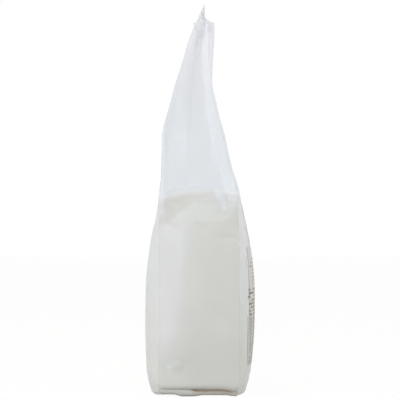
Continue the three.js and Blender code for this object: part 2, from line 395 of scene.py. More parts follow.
def bottom_rows():
    """Rows below the wall: folded on the gussets, and plain with a rounded foot on the panels."""
    upper = slit_middle + slit_half
    lower = slit_middle - slit_half
    lift = FLAP_LIFT(wall_y)
    flap_edge = FLAP_STEPS[0][1]
    path = [(WALL_FOOT + (upper - WALL_FOOT) * t, inset) for t, inset in LIP_STEPS]
    path += [(upper - slit_half * t, LIP_INSET + slit_depth * share) for t, share in SLIT_STEPS]
    for t, share in reversed(SLIT_STEPS):
        inset = np.maximum(LIP_INSET + slit_depth * share, flap_inset + flap_edge)
        path.append((lower + slit_half * t, inset))
    path += [(lower + (lift - lower) * t, flap_inset + inset) for t, inset in FLAP_STEPS]
    rows = []
    for i, (folded_z, folded_inset) in enumerate(path):
        down = min((i + 1) / (len(path) - 1), 1)
        plain_z = WALL_FOOT + (corner_z - WALL_FOOT) * down
        plain_inset = panel_foot(WALL_FOOT * (1 - down)) + (BASE_TURN if i == len(path) - 1 else 0)
        inset = on_gusset * folded_inset + (1 - on_gusset) * plain_inset
        row = wall - wall_outward * inset[:, None]
        row[:, 2] = on_gusset * folded_z + (1 - on_gusset) * plain_z
        rows.append(row)
    return np.array(rows[::-1])


bottom = bottom_rows()
film_sheet = np.concatenate([bottom, film])


def loop_mesh(name, points):
    """A closed mesh over rows of points in millimetres whose columns close into a loop."""
    rows, columns = points.shape[:2]
    index = np.arange(rows * columns).reshape(rows, columns)
    after = np.roll(index, -1, axis=1)
    faces = np.stack([index[:-1], after[:-1], after[1:], index[1:]], axis=-1).reshape(-1, 4).tolist()
    for row, faces_up in ((0, False), (rows - 1, True)):
        outline = points[row, :, :2]
        for triangle in tessellate_polygon([[Vector((x, y, 0)) for x, y in outline]]):
            a, b, c = outline[list(triangle)]
            turns_left = (b[0] - a[0]) * (c[1] - a[1]) > (b[1] - a[1]) * (c[0] - a[0])
            order = triangle if turns_left == faces_up else triangle[::-1]
            faces.append([int(index[row, i]) for i in order])
    mesh = bpy.data.meshes.new(name)
    mesh.from_pydata((points.reshape(-1, 3) * MM).tolist(), [], faces)
    mesh.validate()
    mesh.shade_smooth()
    return mesh


def new_piece(name, mesh):
    piece = bpy.data.objects.new(name, mesh)
    bpy.context.scene.collection.objects.link(piece)
    return piece


def vertex_values(mesh, name, values):
    """Stores one number for each vertex, for a material to read."""
    layer = mesh.attributes.new(name, "FLOAT", "POINT")
    layer.data.foreach_set("value", np.asarray(values, dtype=np.float32).ravel())


film_bag = new_piece("film_bag", loop_mesh("film_bag", film_sheet))

# The film is pressed sharp along its four creases
is_crease = np.tile(from_crease[0] == 0, len(film_sheet))
ends = np.zeros(2 * len(film_bag.data.edges), dtype=np.int32)
film_bag.data.edges.foreach_get("vertices", ends)
ends = ends.reshape(-1, 2)
upright_edge = ends[:, 0] % film.shape[1] == ends[:, 1] % film.shape[1]
sharp = film_bag.data.attributes.new("sharp_edge", "BOOLEAN", "EDGE")
sharp.data.foreach_set("value", upright_edge & is_crease[ends[:, 0]])

# The flour's top, by distance behind the middle plane: it settled a little lower towards the front panel
FLOUR_LEVEL = smooth_line((-26, 126.5), (-20, 128), (-12, 130), (0, 130.6), (14, 129.6), (24, 129))
# Where the film lies tight on the flour: everywhere below its top, but hardly at all high on the panels. On
# the near gusset it lifts off in front of the ridge, and a little on the gable outside a stripe that climbs
# from the front crease.
PANEL_LOOSE = 0.95
GABLE_LOOSE = 0.3
film_z = film_sheet[..., 2]
film_y = film_sheet[..., 1]
above_flour = film_z - FLOUR_LEVEL(film_y)
tight = smooth_step(-above_flour, -1, 4)
high_panel = smooth_step(film_z, 25, 95) * (1 - is_gusset)
high_panel *= np.where(film_y > 0, smooth_step(-from_crease[0], -26, -10), 1)
tight *= 1 - PANEL_LOOSE * high_panel
before_ridge = smooth_step(BELLY_RIDGE["near"](film_z) - film_y, -5, 8) * smooth_step(film_z, 14, 40)
above_foot = film_z - GABLE_FOOT["near"](-26)
# The stripe's two edges lean back as they climb
stripe_front = -24.8 + 0.4 * above_foot
stripe_back = -20.5 + 0.97 * above_foot
before_stripe = 0.7 * smooth_step(stripe_front - film_y, -2, 3)
behind_stripe = smooth_step(film_y - stripe_back, -1, 3)
off_stripe = np.maximum(behind_stripe, before_stripe)
on_gable = off_stripe * smooth_step(film_z - GABLE_FOOT["near"](film_y), -1, 1)
below_gable = smooth_step(GABLE_FOOT["near"](-26) - film_z, -1, 1)
lifted = np.maximum(before_ridge * below_gable, GABLE_LOOSE * on_gable)
# It also stands off the flour along both upper creases, along its fold and at a low wrinkle. The last two
# are given as start, end, width and strength.
LIFTED_FOLD = (11.8, 133), (16.8, 117), 2.4, 1.4
LOW_WRINKLE = (-22, 18.2), (-12.5, 22), 1.2, 0.9
front_edge = smooth_step(film_z, 110, 118) * smooth_step(-film_y, 22, 24)
back_edge = smooth_step(film_z, 119, 125) * smooth_step(film_y, 19, 21.5)
fold_line = np.minimum(crease(film_y, film_z, *LIFTED_FOLD), 1)
wrinkle = crease(film_y, film_z, *LOW_WRINKLE)
stands_off = np.maximum.reduce([front_edge, back_edge, fold_line, wrinkle])
stands_off *= is_gusset * (film_sheet[..., 0] > 0)
tight[:, near_gusset] *= 1 - np.maximum(lifted, stands_off)[:, near_gusset]
vertex_values(film_bag.data, "raised", stands_off)
vertex_values(film_bag.data, "tight", tight)
# How milky it looks: least where it lies tight, and most where it stands off the flour
HAZE_TIGHT = 0.30
HAZE_FREE = 0.42
HAZE_RAISED = 0.55
HAZE_SEALED = 0.35
HAZE_ON_PANEL = 0.15
below_rim = smooth_step(-above_flour, 0, 5)
haze = HAZE_TIGHT + (HAZE_FREE - HAZE_TIGHT) * smooth_step(above_flour, -3, 3)
haze += (HAZE_SEALED - HAZE_FREE) * smooth_step(film_z, SEAL_ROOT - 1, SEAL_ROOT)
haze += HAZE_ON_PANEL * high_panel * below_rim
haze += (HAZE_RAISED - haze) * stands_off
vertex_values(film_bag.data, "haze", haze)
# Flour dust clings inside the film just above the flour, less so where the film stands off it
DUST_LOST = 0.55
dust = smooth_step(above_flour, -6, -1) * smooth_step(-above_flour, -5, 0) * (1 - DUST_LOST * stands_off)
vertex_values(film_bag.data, "dust", dust)
# How white its milkiness looks: more and more towards the seal, where layers lie on one another, and where
# it isn't tight on the flour
layers = np.maximum(smooth_step(film_z, FLOUR_TOP, SEAL_ROOT), (1 - tight) * below_rim)
vertex_values(film_bag.data, "layers", layers)
# Painted warm shade: the film is tinted brown inside the shaded slit of the bottom fold, and less so on the
# flap
WARM_SHADE_ON_FLAP = 0.2
flap_rows = len(FLAP_STEPS)
slit_rows = 2 * len(SLIT_STEPS)
# Painted shade: full brown tint on the slit's rows, a little on the flap's rows
slit_warm_shade = np.zeros(film_sheet.shape[:2])
slit_warm_shade[:flap_rows] = WARM_SHADE_ON_FLAP * on_gusset * smooth_step(wall_y, -8, 0)
slit_warm_shade[flap_rows:flap_rows + slit_rows] = on_gusset
vertex_values(film_bag.data, "slit_warm_shade", slit_warm_shade)


def linear(hex_colour):
    """An sRGB hex colour as linear red, green, blue and alpha."""
    parts = [int(hex_colour[i:i + 2], 16) / 255 for i in (1, 3, 5)]
    return [p / 12.92 if p <= 0.04045 else ((p + 0.055) / 1.055) ** 2.4 for p in parts] + [1.0]


def add_node(tree, kind, inputs=None, **settings):
    """Adds a node with its settings. An input is a plain value, or another node's output to link."""
    node = tree.nodes.new(kind)
    for name, value in settings.items():
        setattr(node, name, value)
    for name, value in (inputs or {}).items():
        if isinstance(value, bpy.types.NodeSocket):
            tree.links.new(value, node.inputs[name])
        else:
            node.inputs[name].default_value = value
    return node


def new_material(name):
    material = bpy.data.materials.new(name)
    material.use_nodes = True
    material.node_tree.nodes.clear()
    return material, material.node_tree


# Cast polypropylene film: clear, very slightly blue, a little milky, with the soft gloss of handled film.
# The milkiness scatters light both back and on, so slack film looks even, but only back where it stands off
# the flour. Flour and dust whiten it, a painted warm shade browns it in the bottom slit and on the flap,
# and it is duller where layers lie on one another.
clear_film, tree = new_material("clear_polypropylene_film")
place = add_node(tree, "ShaderNodeTexCoord").outputs["Object"]
haze_here = add_node(tree, "ShaderNodeAttribute", attribute_name="haze")
dust_here = add_node(tree, "ShaderNodeAttribute", attribute_name="dust")
edge_on = add_node(tree, "ShaderNodeLayerWeight", {"Blend": 0.35})
scuff = add_node(tree, "ShaderNodeTexNoise", {"Vector": place, "Scale": 1 / (6 * MM), "Detail": 3.0})
waviness = add_node(tree, "ShaderNodeBump", {
    "Height": scuff.outputs["Fac"], "Strength": 0.1, "Distance": 0.1 * MM})
speckle = add_node(tree, "ShaderNodeTexNoise", {"Vector": place, "Scale": 1 / (0.5 * MM), "Detail": 2.0})
settled = add_node(tree, "ShaderNodeMapRange", {
    "Value": speckle.outputs["Fac"], "To Min": 0.4, "To Max": 0.6})
dust_veil = add_node(tree, "ShaderNodeMath", {0: dust_here.outputs["Fac"], 1: settled.outputs[0]},
                     operation="MULTIPLY")
grazing = add_node(tree, "ShaderNodeMath", {
    0: edge_on.outputs["Facing"], 1: 0.12, 2: haze_here.outputs["Fac"]}, operation="MULTIPLY_ADD")
veil_share = add_node(tree, "ShaderNodeMath", {0: grazing.outputs[0], 1: dust_veil.outputs[0]},
                      operation="ADD", use_clamp=True)
rough = add_node(tree, "ShaderNodeMapRange", {
    "Value": scuff.outputs["Fac"], "To Min": 0.30, "To Max": 0.45})
tight_here = add_node(tree, "ShaderNodeAttribute", attribute_name="tight")
tint = add_node(tree, "ShaderNodeMix", {
    "Factor": tight_here.outputs["Fac"], 6: linear("#fdfcfc"), 7: linear("#f7f7f5")}, data_type="RGBA")
# Painted warm shade: the see-through tint turns brown in the shaded slit and on the flap
warm_shade_here = add_node(tree, "ShaderNodeAttribute", attribute_name="slit_warm_shade")
warm_shaded_tint = add_node(tree, "ShaderNodeMix", {
    "Factor": warm_shade_here.outputs["Fac"], 6: tint.outputs[2], 7: linear("#fbf0e2")}, data_type="RGBA")
through = add_node(tree, "ShaderNodeBsdfTransparent", {"Color": warm_shaded_tint.outputs[2]})
layers_here = add_node(tree, "ShaderNodeAttribute", attribute_name="layers")
milk = add_node(tree, "ShaderNodeMix", {
    "Factor": layers_here.outputs["Fac"], 6: linear("#e7eef3"), 7: linear("#f1f3f5")}, data_type="RGBA")
floury_milk = add_node(tree, "ShaderNodeMix", {
    "Factor": tight_here.outputs["Fac"], 6: milk.outputs[2], 7: linear("#f3f3f0")}, data_type="RGBA")
dusty_milk = add_node(tree, "ShaderNodeMix", {
    "Factor": dust_here.outputs["Fac"], 6: floury_milk.outputs[2], 7: linear("#f4f4f2")}, data_type="RGBA")
# Painted warm shade: the milky veil turns brown in the shaded slit and on the flap
warm_shaded_milk = add_node(tree, "ShaderNodeMix", {
    "Factor": warm_shade_here.outputs["Fac"], 6: dusty_milk.outputs[2], 7: linear("#fbf0e2")}, data_type="RGBA")
veil_front = add_node(tree, "ShaderNodeBsdfPrincipled", {
    "Base Color": warm_shaded_milk.outputs[2], "Roughness": rough.outputs[0], "Specular IOR Level": 0.2,
    "Normal": waviness.outputs[0]})
veil_back = add_node(tree, "ShaderNodeBsdfTranslucent", {"Color": warm_shaded_milk.outputs[2]})
raised_here = add_node(tree, "ShaderNodeAttribute", attribute_name="raised")
scattered_on = add_node(tree, "ShaderNodeMapRange", {
    "Value": raised_here.outputs["Fac"], "To Min": 0.5, "To Max": 0.0})
veil = add_node(tree, "ShaderNodeMixShader", {
    0: scattered_on.outputs[0], 1: veil_front.outputs[0], 2: veil_back.outputs[0]})
hazy = add_node(tree, "ShaderNodeMixShader", {
    0: veil_share.outputs[0], 1: through.outputs[0], 2: veil.outputs[0]})
gloss = add_node(tree, "ShaderNodeBsdfAnisotropic", {
    "Roughness": rough.outputs[0], "Normal": waviness.outputs[0]})
slant = add_node(tree, "ShaderNodeLayerWeight", {"Blend": 0.5, "Normal": waviness.outputs[0]})
mirrored = add_node(tree, "ShaderNodeMath", {0: slant.outputs["Facing"], 1: 5.0}, operation="POWER")
glossy_share = add_node(tree, "ShaderNodeMath", {0: mirrored.outputs[0], 1: 0.4, 2: 0.03},
                        operation="MULTIPLY_ADD")
dulled = add_node(tree, "ShaderNodeMapRange", {
    "Value": layers_here.outputs["Fac"], "To Min": 1.0, "To Max": 0.4})
shine = add_node(tree, "ShaderNodeMath", {0: glossy_share.outputs[0], 1: dulled.outputs[0]},
                 operation="MULTIPLY")
surface = add_node(tree, "ShaderNodeMixShader", {
    0: shine.outputs[0], 1: hazy.outputs[0], 2: gloss.outputs[0]})
add_node(tree, "ShaderNodeOutputMaterial", {"Surface": surface.outputs[0]})
film_bag.data.materials.append(clear_film)

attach(film_bag, "root")
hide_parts("flour_bag")


# The print on the back
# Small print in thin ink on the outside of the back panel: a heading and two paragraphs on pale fields, and
# a ruled table. Plain bars stand in rows in place of words, and each bar follows the film it is printed on.
PRINT_HALF = 48.5
PRINT_PITCH = 2.3
TABLE_PITCH = 2.3
TABLE_TOP = 49.5
TABLE_ROWS = 13
RULE = 0.3
INK_THICKNESS = 0.06
INK_LIFT = 0.02


def node_tree(name, inputs):
    """A new tree of geometry nodes with named inputs, and the outputs of its input node."""
    tree = bpy.data.node_groups.new(name, "GeometryNodeTree")
    for label, kind in inputs.items():
        tree.interface.new_socket(label, in_out="INPUT", socket_type="NodeSocket" + kind)
    tree.interface.new_socket("Geometry", in_out="OUTPUT", socket_type="NodeSocketGeometry")
    return tree, tree.nodes.new("NodeGroupInput").outputs


def grow(name, tree, values):
    """Runs a tree with the given inputs and keeps what it makes as a plain mesh."""
    holder = new_piece(name, bpy.data.meshes.new(name + "_start"))
    modifier = holder.modifiers.new(name, "NODES")
    modifier.node_group = tree
    for socket in tree.interface.items_tree:
        if socket.in_out == "INPUT":
            modifier[socket.identifier] = values[socket.name]
    made = holder.evaluated_get(bpy.context.evaluated_depsgraph_get())
    mesh = bpy.data.meshes.new_from_object(made)
    holder.modifiers.clear()
    holder.data = mesh
    return holder


# Thin slabs in rows, upright in the XZ plane: each is centred in its cell and has a length of its own
rows_of_marks, given = node_tree("rows_of_marks", {
    "Left": "Float", "Top": "Float", "Columns": "Int", "Rows": "Int", "Cell": "Float", "Pitch": "Float",
    "Height": "Float", "Thickness": "Float", "Shortest": "Float", "Longest": "Float", "Kept": "Float",
    "Stray": "Float", "Steps": "Int", "Seed": "Int"})
first_x = add_node(rows_of_marks, "ShaderNodeMath", {0: given["Cell"], 1: 0.5, 2: given["Left"]},
                   operation="MULTIPLY_ADD")
first_mark = add_node(rows_of_marks, "ShaderNodeCombineXYZ", {"X": first_x.outputs[0]})
next_mark = add_node(rows_of_marks, "ShaderNodeCombineXYZ", {"X": given["Cell"]})
row = add_node(rows_of_marks, "GeometryNodeMeshLine", {
    "Count": given["Columns"], "Start Location": first_mark.outputs[0], "Offset": next_mark.outputs[0]})
top_row = add_node(rows_of_marks, "ShaderNodeCombineXYZ", {"Z": given["Top"]})
drop = add_node(rows_of_marks, "ShaderNodeMath", {0: given["Pitch"], 1: -1.0}, operation="MULTIPLY")
next_row = add_node(rows_of_marks, "ShaderNodeCombineXYZ", {"Z": drop.outputs[0]})
stack = add_node(rows_of_marks, "GeometryNodeMeshLine", {
    "Count": given["Rows"], "Start Location": top_row.outputs[0], "Offset": next_row.outputs[0]})
stacked = add_node(rows_of_marks, "GeometryNodeInstanceOnPoints", {
    "Points": stack.outputs[0], "Instance": row.outputs[0]})
cells = add_node(rows_of_marks, "GeometryNodeRealizeInstances", {0: stacked.outputs[0]})
furthest = add_node(rows_of_marks, "ShaderNodeMath", {0: given["Cell"], 1: given["Stray"]},
                    operation="MULTIPLY")
stray = add_node(rows_of_marks, "FunctionNodeRandomValue", {
    2: 0.0, 3: furthest.outputs[0], "Seed": given["Seed"]}, data_type="FLOAT")
aside = add_node(rows_of_marks, "ShaderNodeCombineXYZ", {"X": stray.outputs[1]})
strayed = add_node(rows_of_marks, "GeometryNodeSetPosition", {
    "Geometry": cells.outputs[0], "Offset": aside.outputs[0]})
length = add_node(rows_of_marks, "FunctionNodeRandomValue", {
    2: given["Shortest"], 3: given["Longest"], "Seed": given["Seed"]}, data_type="FLOAT")
other_seed = add_node(rows_of_marks, "ShaderNodeMath", {0: given["Seed"], 1: 100.0}, operation="ADD")
kept = add_node(rows_of_marks, "FunctionNodeRandomValue", {
    "Probability": given["Kept"], "Seed": other_seed.outputs[0]}, data_type="BOOLEAN")
slab = add_node(rows_of_marks, "GeometryNodeMeshCube", {"Size": (1, 1, 1), "Vertices X": given["Steps"]})
slab_size = add_node(rows_of_marks, "ShaderNodeCombineXYZ", {
    "X": length.outputs[1], "Y": given["Thickness"], "Z": given["Height"]})
marks = add_node(rows_of_marks, "GeometryNodeInstanceOnPoints", {
    "Points": strayed.outputs[0], "Selection": kept.outputs[3], "Instance": slab.outputs[0],
    "Scale": slab_size.outputs[0]})
realized = add_node(rows_of_marks, "GeometryNodeRealizeInstances", {0: marks.outputs[0]})
add_node(rows_of_marks, "NodeGroupOutput", {0: realized.outputs[0]})


def mark_rows(top, rows, pitch, height, lengths, left=-PRINT_HALF, right=PRINT_HALF, columns=1, kept=1.0,
              stray=0.0, steps=5, seed=0, thickness=INK_THICKNESS):
    """Inputs for a block of marks, in metres from millimetres. Lengths are the shortest and the longest."""
    return {
        "Left": left * MM, "Top": top * MM, "Columns": columns, "Rows": rows,
        "Cell": (right - left) / columns * MM, "Pitch": pitch * MM, "Height": height * MM,
        "Thickness": thickness * MM, "Shortest": lengths[0] * MM, "Longest": lengths[1] * MM,
        "Kept": kept, "Stray": stray, "Steps": steps, "Seed": seed}


def marks_on_film(name, blocks, side, lift, finish):
    """Lays blocks of marks on the film's back, side 1, or its front, side -1, each point straight in Y."""
    tree, given = node_tree(name, {
        "Film": "Object", "Side": "Float", "Lift": "Float", "Finish": "Material"})
    target = add_node(tree, "GeometryNodeObjectInfo", {"Object": given["Film"]})
    upright = add_node(tree, "GeometryNodeJoinGeometry")
    for block in blocks:
        rows = add_node(tree, "GeometryNodeGroup", block, node_tree=rows_of_marks)
        tree.links.new(rows.outputs[0], upright.inputs[0])
    place = add_node(tree, "GeometryNodeInputPosition")
    spot = add_node(tree, "ShaderNodeSeparateXYZ", {0: place.outputs[0]})
    start = add_node(tree, "ShaderNodeCombineXYZ", {
        "X": spot.outputs["X"], "Y": given["Side"], "Z": spot.outputs["Z"]})
    inward = add_node(tree, "ShaderNodeMath", {0: given["Side"], 1: -1.0}, operation="MULTIPLY")
    aim = add_node(tree, "ShaderNodeCombineXYZ", {"Y": inward.outputs[0]})
    found = add_node(tree, "GeometryNodeRaycast", {
        "Target Geometry": target.outputs["Geometry"], "Source Position": start.outputs[0],
        "Ray Direction": aim.outputs[0], "Ray Length": 2.0})
    above = add_node(tree, "ShaderNodeMath", {0: spot.outputs["Y"], 1: given["Side"], 2: given["Lift"]},
                     operation="MULTIPLY_ADD")
    raised = add_node(tree, "ShaderNodeVectorMath", {
        0: found.outputs["Hit Normal"], "Scale": above.outputs[0]}, operation="SCALE")
    on_film = add_node(tree, "ShaderNodeVectorMath", {
        0: found.outputs["Hit Position"], 1: raised.outputs[0]}, operation="ADD")
    laid = add_node(tree, "GeometryNodeSetPosition", {
        "Geometry": upright.outputs[0], "Position": on_film.outputs[0]})
    real = add_node(tree, "GeometryNodeRealizeInstances", {0: laid.outputs[0]})
    finished = add_node(tree, "GeometryNodeSetMaterial", {0: real.outputs[0], "Material": given["Finish"]})
    add_node(tree, "NodeGroupOutput", {0: finished.outputs[0]})
    return grow(name, tree, {"Film": film_bag, "Side": float(side), "Lift": lift * MM, "Finish": finish})


# Flexographic ink: thin, matte and a little starved, so its colour is mottled and never quite full
def printing_ink(name, dark, light):
    ink, tree = new_material(name)
    place = add_node(tree, "ShaderNodeTexCoord").outputs["Object"]
    starved = add_node(tree, "ShaderNodeTexNoise", {
        "Vector": place, "Scale": 1 / (0.8 * MM), "Detail": 2.0})
    tone = add_node(tree, "ShaderNodeValToRGB", {"Fac": starved.outputs["Fac"]})
    tone.color_ramp.elements[0].position = 0.3
    tone.color_ramp.elements[0].color = linear(dark)
    tone.color_ramp.elements[1].position = 0.7
    tone.color_ramp.elements[1].color = linear(light)
    dry_ink = add_node(tree, "ShaderNodeBsdfPrincipled", {
        "Base Color": tone.outputs[0], "Roughness": 0.6, "Specular IOR Level": 0.3})
    add_node(tree, "ShaderNodeOutputMaterial", {"Surface": dry_ink.outputs[0]})
    return ink


words = {"pitch": PRINT_PITCH, "lengths": (3.6, 7.0), "stray": 0.5}
table_line = {"rows": TABLE_ROWS, "pitch": TABLE_PITCH}
table_side = {"height": TABLE_PITCH, "lengths": (RULE, RULE), "steps": 2, **table_line}
in_row = TABLE_TOP - TABLE_PITCH / 2
back_print = marks_on_film("back_print", [
    mark_rows(115.5, 3, 6.4, 3.6, (7.0, 9.5), left=-24, right=-2, columns=2, steps=7, seed=1,
              thickness=3 * INK_THICKNESS),
    mark_rows(87, 8, height=0.7, left=-38, right=38, columns=11, kept=0.55, seed=2, **words),
    mark_rows(67.5, 8, height=1.35, right=46, columns=13, kept=0.88, seed=3, **words),
    mark_rows(TABLE_TOP, TABLE_ROWS + 1, TABLE_PITCH, RULE, (2 * PRINT_HALF, 2 * PRINT_HALF), steps=41),
    mark_rows(in_row, height=0.8, lengths=(3.0, 7.6), left=-46, right=14, columns=7, kept=0.7, stray=0.3,
              seed=4, **table_line),
    mark_rows(in_row, height=0.8, lengths=(4.0, 8.0), left=22, right=46, columns=2, kept=0.95, seed=5,
              **table_line),
    mark_rows(in_row, right=RULE - PRINT_HALF, **table_side),
    mark_rows(in_row, left=PRINT_HALF - RULE, **table_side),
], 1, 3 * INK_LIFT, printing_ink("grey_brown_ink", "#7a7060", "#948a7a"))
# A field is laid in bands that touch, so that it follows the film upwards too
FIELD_BAND = 2.0
print_fields = marks_on_film("print_fields", [
    mark_rows(121, 13, FIELD_BAND, FIELD_BAND, (52.0, 52.0), left=-26, right=26, steps=41),
    mark_rows(94, 22, FIELD_BAND, FIELD_BAND, (88.0, 88.0), left=-44, right=44, steps=61),
], 1, INK_LIFT, printing_ink("pale_olive_ink", "#c5c5bf", "#cfcfc9"))

for piece in (back_print, print_fields):
    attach(piece, "root")
    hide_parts("flour_bag")


# The flour
# Finely milled white rice flour, packed by its own weight against the film up to a little over half the
# height. It fills the film's folds but not its sharp creases, and its top lies in low uneven heaps.
FILM_GAP = 0.3
FLOUR_ROWS = 150
HEAP_RINGS = 26
HEAP_SWELL = 0.7
HEAP_ROUGHNESS = 0.25
HEAP_DIP = 1.2
SLIT_ROOF = 0.12
BEHIND_SLIT = 2.0
RIM_WAVE = 0.25


def film_at(height):
    """Points of the film's wall at a height of its own for each column."""
    step = np.interp(height, ROWS[:, 0], np.arange(len(ROWS)))
    low = np.clip(step.astype(int), 0, len(ROWS) - 2)
    share = (step - low)[..., None]
    columns = np.broadcast_to(np.arange(film.shape[1]), height.shape)
    return film[low, columns] * (1 - share) + film[low + 1, columns] * share


rng = np.random.default_rng(31)
turn = np.linspace(0, 2 * np.pi, film.shape[1], endpoint=False)
waves = sum(rng.normal(0, RIM_WAVE) * np.sin(k * turn + rng.uniform(0, 6.3)) for k in range(2, 9))
waves[near_gusset] = 0
rim = FLOUR_LEVEL(wall_y) + waves
climb = np.linspace(0, 1, FLOUR_ROWS)[:, None]
against_film = film_at(WALL_FOOT + (rim - WALL_FOOT) * climb)
flour = against_film - FILM_GAP * mitred(outward(against_film))


def flour_foot(gusset_z, gusset_inset, panel_z):
    """A row below the flour's wall, with its own height over the slits and over the panels' feet."""
    inset = on_gusset * gusset_inset + (1 - on_gusset) * panel_foot(panel_z)
    row = flour[0] - wall_outward * inset[:, None]
    row[:, 2] = on_gusset * gusset_z + (1 - on_gusset) * (panel_z + corner_z * (1 - panel_z / WALL_FOOT))
    return row


slit_roof = slit_middle + slit_half + SLIT_ROOF
flap_top = slit_middle - slit_half - SLIT_ROOF
flap_foot = FLAP_LIFT(wall_y) + SLIT_ROOF
behind_slit = LIP_INSET + slit_depth + BEHIND_SLIT * taper
# From the base up: over the flap, behind the slit, and over the slit's roof
foot_rows = np.array([
    flour_foot(flap_foot, flap_inset + 2.2, 0.5),
    flour_foot(flap_top, flap_inset + 1.0, 1.2),
    flour_foot(flap_top, behind_slit, 2.0),
    flour_foot(slit_roof, behind_slit, 3.5),
    flour_foot(slit_roof, 0.2, 5.5),
])
centre = flour[-1].mean(axis=0)
heap = []
for ring in range(1, HEAP_RINGS):
    inward = ring / HEAP_RINGS
    points = flour[-1] + (centre - flour[-1]) * inward
    swell = np.sin(points[:, 0] / 17 + 1.0) * np.cos(points[:, 1] / 11) + 0.3 * np.sin(points[:, 0] / 7)
    uneven = crumple(np.random.default_rng(32), points[:, 0], points[:, 1], 3, 12)
    rise = HEAP_SWELL * swell + HEAP_ROUGHNESS * uneven - HEAP_DIP
    points[:, 2] += rise * np.sin(inward * np.pi / 2)
    heap.append(points)
flour_form = np.concatenate([foot_rows, flour, heap])
packed_flour = new_piece("packed_flour", loop_mesh("packed_flour", flour_form))
# Where loose crumbs lie: on the heap, clear of the film
CLEAR_RINGS = 3
on_heap = np.zeros(flour_form.shape[:2])
on_heap[CLEAR_RINGS - HEAP_RINGS:] = 1
vertex_values(packed_flour.data, "on_heap", on_heap)

# Rice flour: a matte, faintly warm white powder of grains under a tenth of a millimetre. The grain is drawn
# coarser than it is, so that it shows, and a few specks of bran are left in it.
rice_flour, tree = new_material("milled_rice_flour")
place = add_node(tree, "ShaderNodeTexCoord").outputs["Object"]
packing = add_node(tree, "ShaderNodeTexNoise", {"Vector": place, "Scale": 1 / (9 * MM), "Detail": 4.0})
grain = add_node(tree, "ShaderNodeTexNoise", {"Vector": place, "Scale": 1 / (0.7 * MM), "Detail": 2.0})
mixed = add_node(tree, "ShaderNodeMix", {"Factor": 0.5, 2: packing.outputs["Fac"], 3: grain.outputs["Fac"]})
shade = add_node(tree, "ShaderNodeValToRGB", {"Fac": mixed.outputs[0]})
shade.color_ramp.elements[0].position = 0.35
shade.color_ramp.elements[0].color = linear("#e3e3df")
shade.color_ramp.elements[1].position = 0.65
shade.color_ramp.elements[1].color = linear("#ebebe7")
bran = add_node(tree, "ShaderNodeTexVoronoi", {"Vector": place, "Scale": 1 / (14 * MM)})
is_bran = add_node(tree, "ShaderNodeMath", {0: bran.outputs["Distance"], 1: 0.028}, operation="LESS_THAN")
flecked = add_node(tree, "ShaderNodeMix", {
    "Factor": is_bran.outputs[0], 6: shade.outputs[0], 7: linear("#a89a80")}, data_type="RGBA")
grit = add_node(tree, "ShaderNodeBump", {
    "Height": grain.outputs["Fac"], "Strength": 0.3, "Distance": 0.15 * MM})
powder = add_node(tree, "ShaderNodeBsdfPrincipled", {
    "Base Color": flecked.outputs[2], "Roughness": 0.95, "Specular IOR Level": 0.2,
    "Normal": grit.outputs[0]})
add_node(tree, "ShaderNodeOutputMaterial", {"Surface": powder.outputs[0]})
packed_flour.data.materials.append(rice_flour)

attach(packed_flour, "root")
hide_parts("flour_bag")


# Loose crumbs of flour
# Soft little lumps that the flour made as it was poured, lying loose on its top at their own size.
CRUMB_SMALLEST = 0.15
CRUMB_LARGEST = 0.9
CRUMBS_TO_SQUARE_METRE = 5e5
scatter, given = node_tree("loose_crumbs", {
    "Flour": "Object", "Density": "Float", "Smallest": "Float", "Largest": "Float", "Seed": "Int",
    "Finish": "Material"})
bed = add_node(scatter, "GeometryNodeObjectInfo", {"Object": given["Flour"]})
bare = add_node(scatter, "GeometryNodeInputNamedAttribute", {"Name": "on_heap"}, data_type="FLOAT")
crowd = add_node(scatter, "ShaderNodeMath", {0: bare.outputs[0], 1: given["Density"]}, operation="MULTIPLY")
spots = add_node(scatter, "GeometryNodeDistributePointsOnFaces", {
    "Mesh": bed.outputs["Geometry"], "Density": crowd.outputs[0], "Seed": given["Seed"]})
lump = add_node(scatter, "GeometryNodeMeshIcoSphere", {"Radius": 1.0, "Subdivisions": 1})
chance = add_node(scatter, "FunctionNodeRandomValue", {"Seed": given["Seed"]}, data_type="FLOAT")
mostly_small = add_node(scatter, "ShaderNodeMath", {0: chance.outputs[1], 1: 3.0}, operation="POWER")
radius = add_node(scatter, "ShaderNodeMapRange", {
    "Value": mostly_small.outputs[0], "To Min": given["Smallest"], "To Max": given["Largest"]})
uneven = add_node(scatter, "FunctionNodeRandomValue", {
    0: (0.7, 0.7, 0.5), 1: (1.2, 1.2, 0.9), "Seed": given["Seed"]}, data_type="FLOAT_VECTOR")
lump_size = add_node(scatter, "ShaderNodeVectorMath", {0: uneven.outputs[0], "Scale": radius.outputs[0]},
                     operation="SCALE")
turned = add_node(scatter, "FunctionNodeRandomValue", {1: (0.5, 0.5, 6.3), "Seed": given["Seed"]},
                  data_type="FLOAT_VECTOR")
lumps = add_node(scatter, "GeometryNodeInstanceOnPoints", {
    "Points": spots.outputs["Points"], "Instance": lump.outputs[0], "Rotation": turned.outputs[0],
    "Scale": lump_size.outputs[0]})
realized = add_node(scatter, "GeometryNodeRealizeInstances", {0: lumps.outputs[0]})
finished = add_node(scatter, "GeometryNodeSetMaterial", {
    0: realized.outputs[0], "Material": given["Finish"]})
add_node(scatter, "NodeGroupOutput", {0: finished.outputs[0]})
flour_crumbs = grow("flour_crumbs", scatter, {
    "Flour": packed_flour, "Density": CRUMBS_TO_SQUARE_METRE, "Smallest": CRUMB_SMALLEST * MM,
    "Largest": CRUMB_LARGEST * MM, "Seed": 33, "Finish": rice_flour})
flour_crumbs.data.shade_smooth()

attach(flour_crumbs, "root")
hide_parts("flour_bag")


